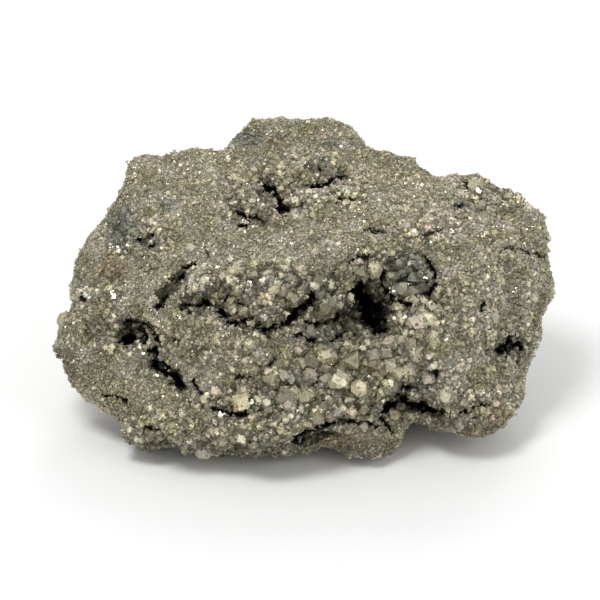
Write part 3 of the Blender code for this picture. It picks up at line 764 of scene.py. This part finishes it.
def tints(places, front, dice):
    """The colour at each place: a mottle, soft spots in front, and painted shade in creases and cracks."""
    x, y = pixels(places)
    colour = np.tile(TINTS["metal"], (len(places), 1))
    mottle = soft_noise(places, MOTTLE_SCALE)
    for name, side in (("yellow", 1), ("pale", -1)):
        share = np.clip(side * mottle * MOTTLE_SLOPE, 0, MOTTLE_MOST)[:, None]
        colour = colour * (1 - share) + np.array(TINTS[name]) * share
    for *spot, name, most in TINT_SPOTS:
        share = most * front * spot_share(x, y, spot, TINT_FADE) * dice.uniform(*TINT_SHARES, len(places))
        colour = colour * (1 - share[:, None]) + np.array(TINTS[name]) * share[:, None]
    _, crease = knobs(places)
    crack = front * np.clip(sunk(places)[0] / CRACK_DARK_DEPTH, 0, 1)
    return colour * ((1 - CREASE_PAINTED_SHADE * crease) * (1 - CRACK_PAINTED_SHADE * crack))[:, None]


def random_colours(places, front, sparkles, dice):
    """Colours that differ from crystal to crystal, with a few pale sparkling ones, and how dull each is."""
    count = len(places)
    colour = tints(places, front, dice) * (1 + CONTRAST * dice.uniform(-1, 1, count))[:, None]
    colour *= 1 + dice.normal(0, HUE_SPREAD, (count, 3))
    tone = dice.uniform(*TONES, count)
    sparkling = dice.random(count) < sparkles
    colour[sparkling] = (colour[sparkling] + np.array(TINTS["pale"])) / 2
    tone[sparkling] *= SPARKLE_TONE
    return np.column_stack([np.clip(colour, 0, 1), np.ones(count)]), tone


def crust(base, dice):
    """The crystals over the whole skin, joined into pieces: the larger crystals and the grains."""
    shapes = forms(dice)
    crystals = covering(base, dice)
    crystals = together([crystals, sprinkled(shapes, crystals, dice)])
    crystals["hue"], crystals["tone"] = crystal_colours(crystals, dice)
    triangles = np.array([sum(len(face) - 2 for face in shapes[form][1]) for form in FORMS])
    large = crystals["size"] > SMALL
    pieces = []
    for name, members in (("crystals", np.flatnonzero(large)), ("grains", np.flatnonzero(~large))):
        parts = math.ceil(triangles[crystals["kind"][members]].sum() / PIECE_TRIANGLES)
        for part in range(parts):
            pieces.append(crystal_piece(f"{name}_{part + 1}", shapes, picked(crystals, members[part::parts])))
    return pieces


def covering(base, dice):
    """The crystals that grow on the base: those all over it, the single ones and the glints."""
    places, _, triangles = mesh_arrays(base.data)
    tree = search_tree(places, triangles)
    crystals = together([
        scattered(places, triangles, dice),
        placed(tree, NOTABLE, NOTABLE_SINK),
        placed(tree, glint_tufts(dice), GLINT_SINK, glint=True),
    ])
    crystals["turn"] = random_turns(len(crystals["size"]), dice)
    glint = crystals["glint"]
    crystals["turn"][glint] = [glint_turn(Vector(place), dice) for place in crystals["middle"][glint]]
    crystals["stretch"] = stretched(crystals["size"], dice)
    return crystals


def sprinkled(shapes, crystals, dice):
    """Fine grains that grow on the faces of the larger crystals."""
    spots, hosts = [], []
    for kind, form in enumerate(FORMS):
        own = np.flatnonzero((crystals["kind"] == kind) & (crystals["size"] > SMALL))
        own = np.repeat(own, np.round(SPRINKLED_PER_MM2 * crystals["size"][own] ** 2).astype(int))
        corners = grown_corners(shapes[form][0], picked(crystals, own))
        faces = np.array([face[:3] for face in shapes[form][1]])
        pick = faces[dice.integers(len(faces), size=len(own))]
        share = dice.dirichlet((1, 1, 1), len(own))
        spots.append(np.einsum("nk,nkj->nj", share, np.take_along_axis(corners, pick[:, :, None], axis=1)))
        hosts.append(own)
    middle = np.concatenate(spots)
    size = np.full(len(middle), FINE)
    stretch = stretched(size, dice)
    turn = random_turns(len(middle), dice)
    kind = dice.choice(len(FORMS), len(middle), p=SMALL_COMMON)
    front = crystals["front"][np.concatenate(hosts)]
    return {**group(middle, size, kind, front), "turn": turn, "stretch": stretch}


def stretched(size, dice):
    """The size of each crystal along its own three axes, in metres."""
    return dice.uniform(*STRETCH, (len(size), 3)) * (size * MM)[:, None]


def grown_corners(shape, crystals):
    """The corners of one form at the place of each crystal."""
    corners = np.einsum("nij,nkj->nki", crystals["turn"], shape[None] * crystals["stretch"][:, None])
    return corners + crystals["middle"][:, None]


def crystal_colours(crystals, dice):
    """The crystals' colours and how dull each is. Larger ones are brighter and duller, glints shine."""
    large = crystals["size"] > SMALL
    glint = crystals["glint"]
    sparkles = np.where(large, CRYSTAL_SPARKLES, SPARKLES)
    colour, tone = random_colours(crystals["middle"], crystals["front"], sparkles, dice)
    colour[large, :3] *= CRYSTAL_SHINE
    tone[large] = np.maximum(tone[large], CRYSTAL_LEAST_DULL)
    colour[glint, :3] = TINTS["pale"]
    tone[glint] = dice.uniform(*GLINT_TONES, glint.sum())
    return colour, tone


def crystal_piece(name, shapes, crystals):
    """One object of many crystals, without any that would reach under the floor or over the top."""
    batches = []
    for kind, form in enumerate(FORMS):
        own = picked(crystals, crystals["kind"] == kind)
        corners = grown_corners(shapes[form][0], own)
        height = corners[:, :, 2]
        clear = (height.min(axis=1) > 0) & (height.max(axis=1) < cad_box[1][2] + OVER_TOP)
        if clear.any():
            values = {key: own[key][clear] for key in ("hue", "tone")}
            batches.append((corners[clear], shapes[form][1], values))
    piece = bpy.data.objects.new(name, joined_mesh(name, batches))
    bpy.context.scene.collection.objects.link(piece)
    return piece


def tint_base(mesh, places, front, dice):
    """Gives each base face a colour of its own, darker than the crystals: painted shade in the gaps."""
    starts, _ = face_corners(mesh)
    vertices = np.empty(len(mesh.loops), dtype=np.int32)
    mesh.loops.foreach_get("vertex_index", vertices)
    first = vertices[starts]
    colour, tone = random_colours(places[first], front[first], SPARKLES, dice)
    colour[:, :3] *= BASE_PAINTED_SHADE
    set_faces(mesh, "hue", colour)
    set_faces(mesh, "tone", tone)
    lay_out(mesh, np.arange(len(mesh.polygons)))


def new_node(tree, kind, values):
    """A new shader node with these values on its inputs."""
    node = tree.nodes.new(kind)
    for name, value in values.items():
        node.inputs[name].default_value = value
    return node


def face_value(tree, name):
    """A shader node that reads what is written on each face."""
    node = tree.nodes.new("ShaderNodeAttribute")
    node.attribute_name = name
    return node


def pyrite_material():
    """Tarnished pyrite: own hue (painted light and shade included) and tone per crystal, fine mottling and
    bumps.
    """
    material = bpy.data.materials.new("pyrite")
    material.use_nodes = True
    tree = material.node_tree
    shader = tree.nodes["Principled BSDF"]
    shader.inputs["Metallic"].default_value = 1
    space = tree.nodes.new("ShaderNodeTexCoord")
    texture = new_node(tree, "ShaderNodeTexNoise", TEXTURE)
    tree.links.new(space.outputs["Object"], texture.inputs["Vector"])

    mottling = new_node(tree, "ShaderNodeMapRange", MOTTLING)
    tree.links.new(texture.outputs["Fac"], mottling.inputs["Value"])
    metal = tree.nodes.new("ShaderNodeVectorMath")
    metal.operation = "SCALE"
    tree.links.new(face_value(tree, "hue").outputs["Color"], metal.inputs[0])
    tree.links.new(mottling.outputs["Result"], metal.inputs["Scale"])
    tree.links.new(metal.outputs["Vector"], shader.inputs["Base Color"])

    dullness = new_node(tree, "ShaderNodeMapRange", DULLNESS)
    tree.links.new(face_value(tree, "tone").outputs["Fac"], dullness.inputs["Value"])
    tree.links.new(dullness.outputs["Result"], shader.inputs["Roughness"])

    bumps = new_node(tree, "ShaderNodeBump", BUMPS)
    tree.links.new(texture.outputs["Fac"], bumps.inputs["Height"])
    tree.links.new(bumps.outputs["Normal"], shader.inputs["Normal"])
    return material


def floor_material():
    """A plain pale matt material."""
    material = bpy.data.materials.new("floor")
    material.use_nodes = True
    shader = material.node_tree.nodes["Principled BSDF"]
    shader.inputs["Base Color"].default_value = (FLOOR_SHADE, FLOOR_SHADE, FLOOR_SHADE, 1)
    shader.inputs["Roughness"].default_value = FLOOR_ROUGHNESS
    return material


def pale_floor():
    """A wide pale floor that fills the view."""
    mesh = bpy.data.meshes.new("floor")
    corners = [(x * FLOOR_HALF, y * FLOOR_HALF, 0) for x, y in ((-1, -1), (1, -1), (1, 1), (-1, 1))]
    mesh.from_pydata(corners, [], [(0, 1, 2, 3)])
    mesh.materials.append(floor_material())
    floor = bpy.data.objects.new("floor", mesh)
    bpy.context.scene.collection.objects.link(floor)
    return floor


def soft_light(name, place, size, radiance):
    """A square soft light, turned to the specimen."""
    data = bpy.data.lights.new(name, "AREA")
    data.size = size
    data.energy = radiance * math.pi * size**2
    light = bpy.data.objects.new(name, data)
    light.location = Vector(place)
    light.rotation_euler = (FACE_MIDDLE - Vector(place)).to_track_quat("-Z", "Y").to_euler()
    bpy.context.scene.collection.objects.link(light)


def studio():
    """Even pale surroundings, soft lights and the camera."""
    scene = bpy.context.scene
    world = bpy.data.worlds.new("studio")
    world.use_nodes = True
    backdrop = world.node_tree.nodes["Background"]
    backdrop.inputs["Color"].default_value = (1, 1, 1, 1)
    backdrop.inputs["Strength"].default_value = WORLD_LIGHT
    scene.world = world
    scene.view_settings.view_transform = "Standard"
    for name, place, size, radiance in LIGHTS:
        soft_light(name, place, size, radiance)
    lens = bpy.data.cameras.new("camera")
    lens.lens = LENS_MM
    lens.sensor_width = SENSOR_MM
    camera = bpy.data.objects.new("camera", lens)
    camera.matrix_world = STANCE @ Matrix.Translation((0, 0, EYE_DISTANCE))
    scene.collection.objects.link(camera)
    scene.camera = camera


dice = np.random.default_rng(SEED)
base = base_mass(dice)
pieces = [base] + crust(base, dice)
pyrite = pyrite_material()
for piece in pieces:
    piece.data.shade_flat()
    piece.data.materials.clear()
    piece.data.materials.append(pyrite)
    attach(piece, "root")
    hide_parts(NODE)
pale_floor()
studio()
